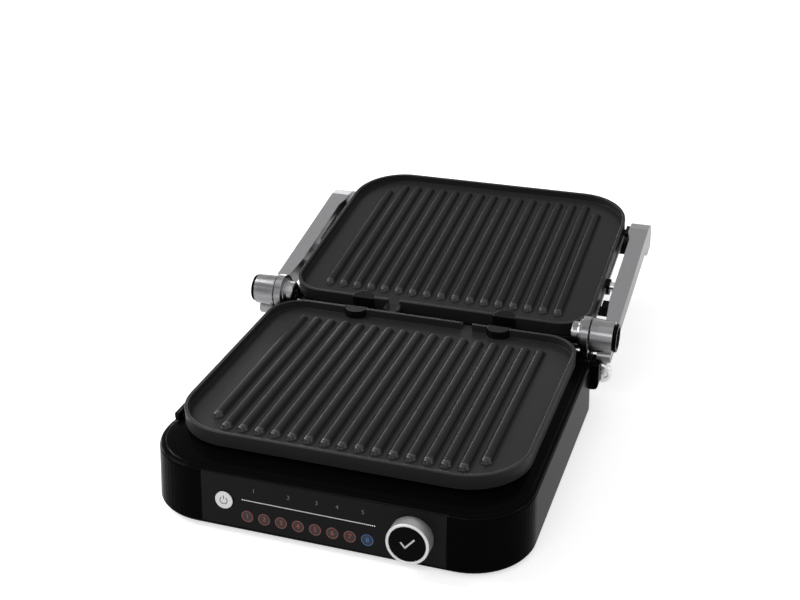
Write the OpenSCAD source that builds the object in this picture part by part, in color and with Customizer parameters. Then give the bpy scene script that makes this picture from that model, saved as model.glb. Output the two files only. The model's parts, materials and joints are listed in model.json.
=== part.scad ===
// Electric contact grill with a floating lid that opens flat, drawn opened.
// Base pieces are drawn with Y = 0 at the middle of the lower ridges and Z = 0 on the table.
// Lid and arm pieces are drawn about the hinge axis: Y along the open lid, Z out of its plate.

/* [Grill plates] */
// Distance between two ridges
ridge_pitch = 15; // [13:0.5:16]
// Ridges on each plate
ridge_count = 17; // [13:2:17]
// Length of a full ridge
ridge_len = 212; // [190:1:220]
// How much shorter the two outer ridges are, away from the hinge
ridge_short = 14.3; // [8:0.1:20]
// Width of a ridge
ridge_w = 7; // [5:0.5:8]
// Height of a ridge over the plate floor
ridge_h = 4; // [3:0.25:4.5]
// Width of a plate
plate_w = 309; // [300:1:309]
// Plate beyond the ridges on the side away from the hinge
plate_front_margin = 18.5; // [14:0.5:20]
// Plate beyond the ridges on the hinge side
plate_hinge_margin = 24; // [20:0.5:25]
// Corner radius away from the hinge
plate_corner_front = 54; // [45:1:60]
// Corner radius on the hinge side
plate_corner_hinge = 33; // [28:1:36]
// Rim height over the ridges
rim_rise = 3.5; // [2:0.25:3.5]
// Skirt depth under the ridge tops
skirt_drop = 9.5; // [8:0.5:9.5]
// Wall thickness of rim and skirt
plate_wall = 3; // [2.5:0.25:3.5]
// Thickness of the plate floor
plate_floor = 4; // [3.5:0.25:4.5]
// Middle of the drain spout from the plate centre
spout_x = 41; // [38:1:44]
// Width of the drain spout
spout_w = 16; // [12:1:18]
// How far the spout reaches past the rim
spout_reach = 9; // [6:0.5:9.5]

/* [Base] */
// Height of the ridge tops over the table
ridge_z = 70; // [68:1:74]
// Base beyond the plate at each side
base_side = 12; // [10.5:0.5:13.5]
// Front of the base at its foot, ahead of the plate centre
base_front = 156.8; // [154:0.2:160]
// Rear of the base behind the plate centre
base_rear = 150; // [149:0.5:151]
// How far the front leans back from foot to shoulder
front_lean = 4.6; // [3:0.2:6]
// How far each side leans in from foot to shoulder
side_lean = 1.2; // [0.6:0.2:2]
// Height of the shoulder, where the sides meet the deck
shoulder_z = 54; // [52:0.5:55]
// Rise of the deck from the shoulder to the plate
deck_rise = 3; // [2:0.25:3.25]
// Rounding of the shoulder edge
shoulder_round = 3; // [2:0.5:4]
// Front corner radius of the base
base_corner_front = 54; // [48:1:60]
// Rear corner radius of the base
base_corner_rear = 34; // [32:1:38]
// Wall thickness of the base shell
base_wall = 3; // [2.5:0.25:3.5]
// Height of the feet
foot_h = 4; // [3:0.5:5]
// Radius of a foot
foot_r = 10; // [8:0.5:12]
// Thickness of the bottom cover
bottom_t = 2.5; // [2:0.25:3]

/* [Control panel] */
// Width of the panel
panel_w = 212; // [204:1:216]
// Height of the panel along its slope
panel_h = 46; // [44:0.5:47]
// Thickness of the panel
panel_t = 3; // [2.5:0.25:3.5]
// Knob place from the middle of the panel
knob_x = 78; // [74:0.5:82]
// Knob radius
knob_r = 18; // [15:0.5:19]
// How far the knob stands out of the panel
knob_out = 14; // [11:0.5:16]
// Radius of the press face in the knob
confirm_r = 15.2; // [12:0.1:15.5]
// Travel of the press face
confirm_travel = 1.5; // [1:0.1:2]
// Power button place from the middle of the panel
power_x = -85.5; // [-90:0.5:-82]
// Power button radius
power_r = 8; // [6:0.5:9]
// How far the power button stands out
power_out = 1.6; // [1.4:0.1:2.4]
// Travel of the power button
power_travel = 1.2; // [0.8:0.1:1.3]
// Programme windows in a row
window_count = 8; // [6:1:8]
// Distance between programme windows
window_pitch = 15.04; // [14.5:0.02:15.2]
// Radius of a programme window
window_r = 5.4; // [4:0.2:6]

/* [Hinge] */
// Hinge axis behind the plate centre
hinge_y = 140; // [139.5:0.1:140.5]
// Hinge axis over the ridge tops of the lower plate
hinge_over_ridge = 4.2; // [4:0.1:5]
// Ridge tops of the upper plate under the hinge axis, in the open lid
lid_ridge_drop = 3.7; // [3.6:0.1:4.5]
// Upward tilt of the opened lid
lid_tilt = 8.1; // [7:0.1:9]
// Barrel radius at its inner end
barrel_r = 16.4; // [15:0.2:17]
// Barrel radius at its outer end
barrel_r_out = 15.4; // [14.4:0.2:15.6]
// Inner face of the barrel from the middle
barrel_x = 161; // [160.8:0.1:161.4]
// Length of the barrel
barrel_len = 21.5; // [20:0.5:22]
// Length of the black cap on the barrel
cap_len = 3.8; // [3.4:0.1:5]
// Radius of the hinge pin
pin_r = 6; // [5:0.25:6.5]
// Running clearance round a pin
run_gap = 0.05; // [0.03:0.01:0.08]
// Bracket plate, inner face from the middle
bracket_x = 153; // [152.8:0.1:153.4]
// Thickness of the bracket plate
bracket_t = 7; // [6:0.25:7.25]
// Radius of the bracket's round head
bracket_r = 17.2; // [16.6:0.1:17.6]
// Length of the inner collar of the bracket
collar_len = 10; // [8:0.5:10.5]
// Radius of the inner collar
collar_r = 11; // [10:0.25:11.5]

/* [Arms and handle] */
// Inner face of an arm from the middle
arm_x = 164.6; // [164.2:0.1:165]
// Width of an arm
arm_w = 16.4; // [15:0.2:17]
// Length of an arm behind the hinge axis
arm_len = 229; // [226:1:231]
// Middle of the handle bar from the end of the arm
bar_inset = 16; // [15:0.5:18]
// Width of the handle bar
bar_w = 27; // [25:0.5:28]
// Thickness of the handle bar
bar_t = 11; // [10:0.5:12]
// Gap under the grip when the grill lies open on the table
bar_lift = 0.2; // [0.1:0.1:1]
// Half length of the grip, to the middle of its bend
bar_straight = 106.5; // [104:0.5:107]
// Float pivot from the hinge axis
float_s = 113; // [110:1:116]
// Float pivot under the hinge plane
float_drop = 19.2; // [19:0.1:20]
// Radius of the float pin
float_r = 5; // [4.5:0.25:5]

/* [Lid] */
// Depth of the lid frame under the hinge plane
frame_drop = 18.1; // [17.8:0.1:18.1]
// Depth of the lid cover under the hinge plane
cover_drop = 44; // [42:0.5:45]
// Thickness of the lid cover
cover_t = 2; // [1.5:0.25:2.5]

/* [Heating] */
// Radius of the heating rod
heater_r = 3.3; // [3:0.1:3.5]
// Half width of the heating loop
heater_x = 118; // [110:1:122]
// Thickness of a reflector pan
pan_t = 1; // [0.8:0.1:1.2]
// Depth of the lower reflector pan
lower_pan_depth = 10; // [9:0.5:12]
// Depth of the upper reflector pan
upper_pan_depth = 7; // [6.8:0.1:7.3]

/* [Drip tray] */
// Width of the drip tray
tray_w = 150; // [140:2:156]
// Height of the drip tray
tray_h = 20; // [16:1:20]
// Depth of the drip tray
tray_d = 84; // [76:1:84]
// Wall of the drip tray
tray_wall = 2; // [1.5:0.25:2.5]

/* [Hidden] */
$fn = 64;
base_w = plate_w + 2 * base_side;
bar_s = arm_len - bar_inset;
rest_gap = 0.3;
e = 0.01;

ridge_r = ridge_w / 2;
half_ridge = ridge_len / 2;
plate_y0 = -half_ridge - plate_front_margin;
plate_y1 = half_ridge + plate_hinge_margin;
plate_half = plate_w / 2;
floor_drop = ridge_h + plate_floor;

// Seat of the plate: a collar inside the skirt
seat_inset = plate_wall + 4;
seat_w = 3;
seat_top = ridge_z - floor_drop - rest_gap;

deck_z = shoulder_z + deck_rise;
deck_t = 3;
bottom_z = foot_h;
inside_z = bottom_z + bottom_t;
post_top = deck_z - deck_t;

panel_slope = atan(front_lean / (shoulder_z - bottom_z));
panel_mid_y = -base_front + front_lean / 2;
panel_mid_z = (shoulder_z + bottom_z) / 2 + 1;
panel_gap = 0.2;
window_x0 = -65;
window_z = -12;

hinge_z = ridge_z + hinge_over_ridge;
lid_mid = hinge_y;
lid_ridge_z = -lid_ridge_drop;
lid_seat_z = lid_ridge_z - floor_drop - rest_gap;
lid_skirt_z = lid_ridge_z - skirt_drop;

// The opened lid lies on its grip: depth of the grip under the hinge plane
bar_round = 16 / 11;
bar_under = pow(pow(bar_w / 2 * sin(lid_tilt), bar_round)
    + pow(bar_t / 2 * cos(lid_tilt), bar_round), 1 / bar_round);
bar_depth = (hinge_z + bar_s * sin(lid_tilt) - bar_under - bar_lift) / cos(lid_tilt);

// Step inside the collar that carries the flange of a reflector pan
step_w = 3;
step_drop = 2;
pan_gap = 0.3;
pan_in = seat_inset + seat_w + step_w + 1.5;
collar_z = 47;

cover_x0 = 150;
cover_x1 = 172.5;
cover_y0 = 126;
cover_y1 = 153;
cover_z0 = 21;
cover_top = 46.6;
cover_lip = 50.5;
cover_round = 8;
tower_x = 161.4;

// Middle of the whole opened grill along Y
front_reach = -panel_mid_y + knob_out * cos(panel_slope) + (knob_r - 0.8) * sin(panel_slope);
lid_reach = lid_mid - plate_y0;
cover_rim = lid_skirt_z - 2.5;
flange_in = 0.3;
rear_reach = hinge_y + (lid_reach - flange_in) * cos(lid_tilt) - cover_rim * sin(lid_tilt);
mid_y = (rear_reach - front_reach) / 2;

// ---- frames ----

module in_base() { translate([0, -mid_y, 0]) children(); }
module in_lid() { in_base() translate([0, hinge_y, hinge_z]) rotate([lid_tilt, 0, 0]) children(); }
module in_panel() {
    in_base() translate([0, panel_mid_y, panel_mid_z]) rotate([-panel_slope, 0, 0]) children();
}
module both_sides() { for (side = [0, 1]) mirror([side, 0, 0]) children(); }

// ---- shared outlines ----

// Rounded outline with its own front and rear corner radii
module outline(w, y0, y1, front_r, rear_r) {
    polygon([[-w / 2 + front_r, y0], [w / 2 - front_r, y0], [w / 2, y0 + front_r], [w / 2, y1 - rear_r],
        [w / 2 - rear_r, y1], [-w / 2 + rear_r, y1], [-w / 2, y1 - rear_r], [-w / 2, y0 + front_r]]);
    for (side = [-1, 1]) {
        translate([side * (w / 2 - front_r), y0 + front_r]) circle(front_r);
        translate([side * (w / 2 - rear_r), y1 - rear_r]) circle(rear_r);
    }
}

// Plate outline drawn in by d
module plate_outline(d) {
    outline(plate_w - 2 * d, plate_y0 + d, plate_y1 - d, plate_corner_front - d, plate_corner_hinge - d);
}

// Base outline drawn in by d at the sides and rear, and by f at the front
module base_outline(d, f) {
    outline(base_w - 2 * d, -base_front + f, base_rear - d, base_corner_front - d, base_corner_rear - d);
}

module slab(z, t) { translate([0, 0, z]) linear_extrude(t) children(); }

// Closed solid through rings of points that turn leftwards about the way they follow
module loft(rings) {
    n = len(rings[0]);
    m = len(rings);
    polyhedron(points = [for (r = rings) each r],
        faces = concat([[for (i = [0:n - 1]) i]], [[for (i = [n - 1:-1:0]) (m - 1) * n + i]],
            [for (j = [0:m - 2], i = [0:n - 1]) each
                [[j * n + i, (j + 1) * n + i, (j + 1) * n + (i + 1) % n],
                [j * n + i, (j + 1) * n + (i + 1) % n, j * n + (i + 1) % n]]]));
}

// Rod along X at a height
module rod_x(r, x0, x1) { translate([x0, 0, 0]) rotate([0, 90, 0]) cylinder(r = r, h = x1 - x0); }

// ---- grill plates ----

module ridge(length) {
    straight = length - ridge_w;
    translate([0, straight / 2, 0]) rotate([90, 0, 0]) cylinder(r = ridge_r, h = straight, $fn = 32);
    for (end = [-1, 1]) translate([0, end * straight / 2, 0]) sphere(ridge_r, $fn = 32);
}

// Die-cast plate, ridge tops at Z = 0, hinge side at +Y
module grill_plate() {
    floor_z = -ridge_h;
    difference() {
        slab(-skirt_drop, skirt_drop + rim_rise) plate_outline(0);
        slab(floor_z, ridge_h + rim_rise + 1) plate_outline(plate_wall);
        slab(-skirt_drop - 1, skirt_drop + 1 - floor_drop) plate_outline(plate_wall);
        // Half-round recesses for the hinge-side hooks
        for (side = [-1, 1]) translate([side * hook_x, plate_y1, -skirt_drop - 1])
            cylinder(r = hook_r + rest_gap + 0.2, h = skirt_drop + rim_rise + 2);
        // Drain gap in the rim
        translate([spout_x - spout_w / 2 + 2, plate_y1 - plate_wall - 1, floor_z])
            cube([spout_w - 4, plate_wall + 2, ridge_h + rim_rise + 1]);
    }
    // Spout: a short open channel past the rim
    translate([spout_x - spout_w / 2, plate_y1 - e, floor_z - 2]) difference() {
        cube([spout_w, spout_reach, 5]);
        translate([2, -1, 2]) cube([spout_w - 4, spout_reach + 2, 5]);
    }
    for (i = [0:ridge_count - 1]) {
        outer = i == 0 || i == ridge_count - 1;
        translate([(i - (ridge_count - 1) / 2) * ridge_pitch, 0, -ridge_r])
            translate([0, outer ? ridge_short / 2 : 0, 0]) ridge(outer ? ridge_len - ridge_short : ridge_len);
    }
    // Lug that the release latch lifts
    translate([-latch_x - 2, latch_y - 5, latch_low + latch_t + rest_gap])
        cube([2.4, 10, -floor_drop - latch_low - latch_t - rest_gap + e]);
}

hook_x = 73;
hook_r = 11;
latch_x = 134;
latch_y = -80;
latch_travel = 2.5;
latch_low = -14.4;
latch_t = 1.5;
button_x = -plate_half - 7.8;

module lower_plate() {
    color("#2e2e31") in_base() translate([0, 0, ridge_z]) grill_plate();
}
module upper_plate() {
    color("#2e2e31") in_lid() translate([0, lid_mid, lid_ridge_z]) rotate([0, 0, 180]) grill_plate();
}

// Half-round hooks that hold the hinge edge of a plate, on a leg against the collar
module plate_hooks(foot, leg) {
    for (side = [-1, 1]) translate([side * hook_x, plate_y1, 0]) {
        difference() {
            translate([0, 0, foot]) cylinder(r = hook_r, h = rim_rise - foot);
            translate([-hook_r - 1, 1.5, foot - 1]) cube([2 * hook_r + 2, hook_r, 60]);
            translate([-hook_r - 1, -hook_r - seat_inset, foot - 1])
                cube([2 * hook_r + 2, hook_r, 1 - foot - floor_drop + rest_gap]);
        }
        translate([-8, -seat_inset, leg]) cube([16, 4, foot - leg + e]);
    }
}

// ---- base ----

module base_outer() {
    hull() {
        slab(bottom_z, e) base_outline(1, 1);
        slab(bottom_z + 1.5, e) base_outline(0, 0);
    }
    hull() {
        slab(bottom_z + 1.5, e) base_outline(0, 0);
        slab(shoulder_z - shoulder_round, e) base_outline(side_lean, front_lean);
        slab(shoulder_z - shoulder_round * 0.3, e)
            base_outline(side_lean + shoulder_round * 0.3, front_lean + shoulder_round * 0.3);
        slab(shoulder_z, e) base_outline(side_lean + shoulder_round, front_lean + shoulder_round);
        slab(deck_z, e) plate_outline(2);
    }
}

module hinge_cover_space(gap) {
    translate([cover_x0 - gap, cover_y0 - gap, cover_z0 - gap])
        cube([cover_x1 - cover_x0 + 20, cover_y1 - cover_y0 + 20, 60]);
}

front_backing = 3.2;
cavity_front = base_front - front_lean - panel_t - front_backing;
foot_x = base_w / 2 - 38.5;
foot_y = [-base_front + 60.8, base_rear - 38];
post_places = [for (side = [-1, 1]) each [[side * foot_x, -base_front + 38.8],
    [side * (base_w / 2 - 16.5), 20], [side * (base_w / 2 - 62.5), base_rear - 22]]];

// Ring that carries a plate on its top and a reflector on its inner step
module stepped_collar(low, top) {
    difference() {
        slab(low, top - low) plate_outline(seat_inset);
        slab(low - 1, top - low + 2) plate_outline(seat_inset + seat_w + step_w);
        slab(top - step_drop, step_drop + 1) plate_outline(seat_inset + seat_w);
    }
}

module base_housing() color("#141415") in_base() difference() {
    union() {
        difference() {
            base_outer();
            // Hollow, open at the bottom
            hull() {
                slab(bottom_z - 1, e) base_outline(base_wall, base_front - cavity_front);
                slab(post_top, e) base_outline(base_wall + side_lean + 1, base_front - cavity_front);
            }
            slab(post_top - 1, 20) plate_outline(seat_inset + seat_w);
        }
        // Collar that carries the plate, with a step for the reflector
        stepped_collar(collar_z, seat_top);
        for (p = post_places) translate([p[0], p[1], inside_z])
            cylinder(r = 4.5, h = post_top - inside_z + 1);
    }
    for (p = post_places) translate([p[0], p[1], inside_z - 1]) cylinder(r = 1.45, h = 14);
    // Recess and openings for the control panel
    translate([0, panel_mid_y, panel_mid_z]) rotate([-panel_slope, 0, 0]) {
        translate([-panel_w / 2 - panel_gap, -10, -panel_h / 2 - panel_gap])
            cube([panel_w + 2 * panel_gap, 10 + panel_t, panel_h + 2 * panel_gap]);
        translate([knob_x, 0, 0]) rotate([-90, 0, 0]) cylinder(r = 10, h = 30);
        translate([power_x, 0, 0]) rotate([-90, 0, 0]) cylinder(r = power_r + 1, h = 30);
        translate([window_x0 - 7, 0, window_z - 6]) cube([window_pitch * window_count, 30, 22]);
    }
    // Slot for the drip tray
    translate([-tray_w / 2 - 1, base_rear - 8, inside_z - 5])
        cube([tray_w + 2, 20, tray_h + 7]);
    // Drain holes over the tray
    for (side = [-1, 1]) translate([side * spout_x - 8, hinge_y - 5, post_top - 10]) cube([16, 9, 20]);
    both_sides() hinge_cover_space(0);
    // Notch for the release button and path of its latch
    translate([-base_w / 2 - 1, latch_y - 10.5, shoulder_z - 2.5])
        cube([base_w / 2 - plate_half + 7.4, 21, 12]);
    translate([-plate_half + 4, latch_y - 5.3, ridge_z + latch_low - rest_gap])
        cube([14, 10.6, latch_t + 2 * rest_gap]);
    // Cord gland
    translate([gland_x, base_rear - 8, gland_z]) rotate([-90, 0, 0]) cylinder(r = gland_r, h = 20);
}

gland_x = 94;
gland_z = 24;
gland_r = 8;

module cord_gland() color("#1b1b1c") in_base() translate([gland_x, base_rear, gland_z]) rotate([-90, 0, 0])
    difference() {
        union() {
            translate([0, 0, -6]) cylinder(r = gland_r - 0.1, h = 7);
            translate([0, 0, 0.3]) cylinder(r = gland_r + 2.5, h = 2.2);
            translate([0, 0, -6.5]) cylinder(r = gland_r - 1, h = 2);
        }
        translate([0, 0, -10]) cylinder(r = 3.6, h = 20);
    }

module bottom_cover() color("#1a1a1b") in_base() difference() {
    union() {
        slab(bottom_z, bottom_t) base_outline(base_wall + 0.6, base_front - cavity_front + 0.6);
        for (x = [8, board_w - 8], y = [8, board_d - 8]) translate([board_x + x, board_y0 + y, inside_z - e])
            cylinder(r = 3.5, h = board_lift);
    }
    for (p = post_places) translate([p[0], p[1], bottom_z - 1]) {
        cylinder(r = 1.6, h = 10);
        cylinder(r = 3.4, h = 2.4);
    }
    // Cooling slots
    for (i = [-6:6], row = [-1, 1]) translate([i * 12 - 1.75, row * 34 - 60, bottom_z - 1])
        cube([3.5, 40, 6]);
    for (x = [-foot_x, foot_x], y = foot_y) translate([x, y, bottom_z - 1]) cylinder(r = 3, h = 10);
}

module rubber_feet() color("#101010") in_base() for (x = [-foot_x, foot_x], y = foot_y)
    translate([x, y, 0]) {
        difference() {
            cylinder(r1 = foot_r - 0.8, r2 = foot_r, h = foot_h);
            translate([0, 0, -1]) cylinder(r = 4.5, h = 2.5);
        }
        translate([0, 0, foot_h - e]) cylinder(r = 2.9, h = bottom_t + 0.6);
        translate([0, 0, foot_h + bottom_t]) cylinder(r = 4.2, h = 1.4);
    }

module bottom_screws() color("#b8b8ba") in_base() for (p = post_places)
    translate([p[0], p[1], bottom_z + 0.2]) difference() {
        union() {
            cylinder(r = 3.1, h = 1.2);
            cylinder(r = 1.4, h = 12);
        }
        for (a = [0, 90]) rotate([0, 0, a]) translate([-2, -0.4, -1]) cube([4, 0.8, 1.6]);
    }

// ---- control panel ----

module control_panel() color("#262628") in_panel() difference() {
    translate([-panel_w / 2, 0, -panel_h / 2]) cube([panel_w, panel_t, panel_h]);
    translate([knob_x, -1, 0]) rotate([-90, 0, 0]) cylinder(r = 4.6, h = 10);
    translate([power_x, -1, 0]) rotate([-90, 0, 0]) cylinder(r = power_r + 0.35, h = 10);
    for (i = [0:window_count - 1]) translate([window_x0 + i * window_pitch, -1, window_z])
        rotate([-90, 0, 0]) cylinder(r = window_r, h = 10);
}

module programme_windows() color("#7c2018") in_panel() for (i = [0:window_count - 1])
    translate([window_x0 + i * window_pitch, 0, window_z]) rotate([-90, 0, 0])
        cylinder(r = window_r, h = panel_t + 1);

module power_button() color("#c9c9cc") in_panel() translate([power_x, 0, 0]) rotate([-90, 0, 0]) {
    translate([0, 0, -power_out]) cylinder(r1 = power_r - 0.5, r2 = power_r, h = 0.5);
    translate([0, 0, -power_out + 0.5]) cylinder(r = power_r, h = power_out + panel_t - 0.5);
    translate([0, 0, panel_t - e]) cylinder(r = 3, h = 5.2 - power_travel);
}

module selector_knob() color("#bfbfc2") in_panel() translate([knob_x, 0, 0]) rotate([90, 0, 0]) {
    face = knob_out;
    rotate_extrude() polygon([[stem_r + 0.05, 2], [stem_r + 0.05, face - 6], [confirm_r + 0.25, face - 6],
        [confirm_r + 0.25, face - 0.6], [confirm_r + 0.85, face], [knob_r - 0.8, face], [knob_r, face - 0.8],
        [knob_r, 0.5], [knob_r - 2, 0.5], [knob_r - 2, face - 9], [shaft_r + 2.4, face - 9],
        [shaft_r + 2.4, 0.6], [shaft_r, 0.6], [shaft_r, -8], [stem_r + 0.05, -8]]);
}

stem_r = 1.5;
shaft_r = 3;
stem_end = confirm_travel + 0.4;

module confirm_button() color("#0c0c0d") in_panel() translate([knob_x, 0, 0]) rotate([90, 0, 0]) {
    face = knob_out;
    translate([0, 0, face - 6 + confirm_travel + 0.3])
        cylinder(r = confirm_r, h = 6 - confirm_travel - 0.3 - 0.9);
    translate([0, 0, face - 0.9 - e]) cylinder(r1 = confirm_r, r2 = confirm_r - 0.4, h = 0.4);
    translate([0, 0, stem_end]) cylinder(r = stem_r, h = face - 6 + confirm_travel + 0.4 - stem_end);
}

// Rotary encoder: a bush through the panel and its case on the board
module knob_encoder() color("#8a8a8e") in_panel() translate([knob_x, 0, 0]) rotate([-90, 0, 0]) difference() {
    union() {
        cylinder(r = 4.5, h = panel_t + 6);
        translate([-6.5, -6.5, panel_t + 0.2]) cube([13, 13, 8.2]);
    }
    difference() {
        translate([0, 0, -1]) cylinder(r = shaft_r + run_gap, h = 11);
        // Push switch inside the hollow shaft
        translate([0, 0, -0.1]) cylinder(r = stem_r - 0.1, h = 12);
    }
}

board_y = panel_t + 8.6;
module control_board() color("#1f4a2c") in_panel() {
    translate([-panel_w / 2 + 6, board_y, -20]) cube([panel_w - 12, 1.6, 36]);
    translate([power_x - 4, board_y - 2.6, -4]) cube([8, 2.6, 8]);
    for (i = [0:window_count - 1])
        translate([window_x0 + i * window_pitch - 1.5, board_y - 1.4, window_z - 1.5])
        cube([3, 1.4, 3]);
    translate([-20, board_y + 1.6, -10]) cube([14, 1.8, 14]);
}

board_w = 100;
board_d = 82;
board_x = -108;
board_y0 = -38;
board_lift = 9;
board_t = 1.6;
module power_board() color("#24502f") in_base() translate([board_x, board_y0, inside_z + board_lift]) {
    cube([board_w, board_d, board_t]);
    translate([8, 8, board_t]) cube([28, 24, 18]);
    translate([8, 42, board_t]) cube([16, 28, 15]);
    translate([42, 10, board_t]) cube([18, 14, 14]);
    translate([68, 14, board_t]) cylinder(r = 6, h = 16);
    translate([50, 48, board_t]) cube([38, 12, 12]);
}

// ---- heating ----

// Sheet pan hung by its flange on the step of a collar; seat is the top of that collar
module pan(seat, depth) {
    rim_z = seat - step_drop + pan_t;
    floor_z = rim_z - depth;
    difference() {
        union() {
            slab(rim_z - pan_t, pan_t) plate_outline(seat_inset + seat_w + pan_gap);
            slab(floor_z, depth) plate_outline(pan_in);
        }
        slab(floor_z + pan_t, depth) plate_outline(pan_in + pan_t);
        slab(floor_z - 1, 10) circle(r = 9.2);
        for (side = [-1, 1]) slab(floor_z - 1, 10)
            translate([side * leg_x, rod_y1 + 26]) circle(r = heater_r + 1.5);
        // Passage of the release latch
        translate([-plate_half + 8, latch_y - 5.6, seat + floor_drop + rest_gap + latch_low - 0.6])
            cube([plate_half - latch_x, 11.2, depth]);
    }
}
function pan_floor(seat, depth) = seat - step_drop + pan_t - depth;

// Quarter of a bent rod about Z
module rod_bend(r, bend, from) {
    rotate([0, 0, from]) rotate_extrude(angle = 90) translate([bend, 0]) circle(r, $fn = 24);
}

rod_y0 = -half_ridge + 20;
rod_y1 = half_ridge - 24;
rod_turn = 22;
leg_x = 30;

// Straight stretch of the rod along X or Y
module rod_along_x(x0, x1, y) { translate([0, y, 0]) rod_x(heater_r, x0, x1, $fn = 24); }
module rod_along_y(x, y0, y1) {
    translate([x, y0, 0]) rotate([-90, 0, 0]) cylinder(r = heater_r, h = y1 - y0, $fn = 24);
}

// Heating rod: a loop under the ridges, its ends turned down through the pan
module heating_rod(seat, depth) {
    rod_z = seat - heater_r;
    tail = rod_z - pan_floor(seat, depth) + 3.5;
    translate([0, 0, rod_z]) {
        rod_along_x(-heater_x + rod_turn, heater_x - rod_turn, rod_y0);
        for (side = [-1, 1]) {
            rod_along_y(side * heater_x, rod_y0 + rod_turn, rod_y1 - rod_turn);
            translate([side * (heater_x - rod_turn), rod_y0 + rod_turn, 0])
                rod_bend(heater_r, rod_turn, side > 0 ? 270 : 180);
            translate([side * (heater_x - rod_turn), rod_y1 - rod_turn, 0])
                rod_bend(heater_r, rod_turn, side > 0 ? 0 : 90);
            mirror([side > 0 ? 0 : 1, 0, 0]) rod_along_x(leg_x + 10, heater_x - rod_turn, rod_y1);
            translate([side * (leg_x + 10), rod_y1 + 10, 0]) rod_bend(heater_r, 10, side > 0 ? 180 : 270);
            rod_along_y(side * leg_x, rod_y1 + 10, rod_y1 + 26);
            translate([side * leg_x, rod_y1 + 26, 0]) {
                sphere(heater_r, $fn = 24);
                translate([0, 0, -tail]) cylinder(r = heater_r, h = tail, $fn = 24);
            }
        }
    }
}

// Clips that hold the rod over the pan
module rod_clips(seat, depth) {
    clip_z = pan_floor(seat, depth) + pan_t;
    for (side = [-1, 1], y = [-50, 40]) translate([side * heater_x - 5, y - 4, clip_z])
        cube([10, 8, seat - 2 * heater_r - clip_z + 0.6]);
}

// Sensor pressed against the plate from below, with its flange on the pan
module probe(seat, depth) {
    floor_z = pan_floor(seat, depth);
    translate([0, 0, floor_z - 5]) cylinder(r = 6, h = seat - floor_z + 5);
    translate([0, 0, floor_z + pan_t]) cylinder(r = 12, h = 1.2);
    translate([0, 0, floor_z - 5]) cylinder(r = 8.5, h = 4);
}

module lower_reflector() color("#a9abad") in_base() pan(seat_top, lower_pan_depth);
module lower_heater() color("#6d6f72") in_base() {
    heating_rod(seat_top, lower_pan_depth);
    rod_clips(seat_top, lower_pan_depth);
}
module lower_sensor() color("#c4b48a") in_base() probe(seat_top, lower_pan_depth);
module lower_plate_hooks() color("#19191a") in_base() translate([0, 0, ridge_z])
    plate_hooks(deck_z - ridge_z + e, deck_z - ridge_z + e);

// Push button on the left shoulder with the latch that bears on the plate's lug
module release_button(lift) {
    translate([button_x, latch_y - 11, lift]) hull() {
        for (y = [3, 19], z = [2, 5]) translate([1, y, z]) rotate([0, 90, 0])
            cylinder(r = 2, h = 3.7, $fn = 24);
        for (y = [3, 19], z = [2, 5]) translate([0, y, z]) rotate([0, 90, 0])
            cylinder(r = 1, h = 4, $fn = 24);
    }
}

module lower_release_button() color("#121213") in_base() {
    release_button(ridge_z + latch_low - 0.6);
    translate([button_x + 2, latch_y - 5, ridge_z + latch_low])
        cube([-latch_x - latch_travel - 0.1 - button_x - 2, 10, latch_t]);
}

// ---- drip tray ----

module drip_tray() color("#1d1d1f") in_base() {
    y0 = base_rear + 0.5 - tray_d;
    translate([-tray_w / 2, y0, inside_z + rest_gap]) difference() {
        cube([tray_w, tray_d, tray_h]);
        translate([tray_wall, tray_wall, tray_wall])
            cube([tray_w - 2 * tray_wall, tray_d - 2 * tray_wall, tray_h]);
    }
    translate([-tray_w / 2 - 3, base_rear + 0.5, inside_z - 1]) difference() {
        cube([tray_w + 6, 3, tray_h + 4]);
        translate([tray_w / 2 + 3 - 22, 1, tray_h - 4]) cube([44, 4, 10]);
    }
}

// ---- hinge ----

// Side view and front view of a hinge cover; the moulding is where both agree
module cover_side() {
    polygon([[cover_y0, cover_z0 + 3], [cover_y0 + 3, cover_z0], [cover_y1 - 3, cover_z0],
        [cover_y1, cover_z0 + 3], [cover_y1, cover_top], [cover_y0 + 8.5, cover_top],
        [cover_y0 + 6.5, cover_lip],
        [cover_y0 + 1, cover_lip], [cover_y0, cover_lip - 1]]);
}
module cover_front() {
    polygon(concat([[cover_x0, cover_z0]], [for (a = [-90:15:0])
        [cover_x1 - cover_round + cover_round * cos(a), cover_z0 + cover_round + cover_round * sin(a)]],
        [[cover_x1, cover_lip - 1], [cover_x1 - 1, cover_lip], [cover_x0, cover_lip]]));
}

module hinge_cover() {
    difference() {
        union() {
            intersection() {
                translate([cover_x0, 0, 0]) rotate([90, 0, 90])
                    linear_extrude(cover_x1 - cover_x0) cover_side();
                translate([0, cover_y1, 0]) rotate([90, 0, 0])
                    linear_extrude(cover_y1 - cover_y0) cover_front();
            }
            // Tower round the foot of the bracket, up to the deck
            translate([cover_x0, cover_y0, cover_top - 12])
                cube([tower_x - cover_x0, cover_y1 - cover_y0, shoulder_z - cover_top + 12]);
        }
        bracket_foot(0.02);
    }
}

module bracket_foot(gap) {
    translate([bracket_x - gap, hinge_y - 11 - gap, cover_z0 + 8])
        cube([bracket_t + 2 * gap, 22 + 2 * gap, 60]);
}

module hinge_cover_right() color("#131314") in_base() difference() {
    hinge_cover();
    translate([cover_x1 - 4, hinge_y, lever_z]) rod_x(lever_pin_r + run_gap, 0, 10);
}
module hinge_cover_left() color("#131314") in_base() mirror([1, 0, 0]) hinge_cover();

lever_z = 36;
lever_pin_r = 3;
lever_r = 10.3;
lever_w = 9;
plug_r = 8.6;

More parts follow.
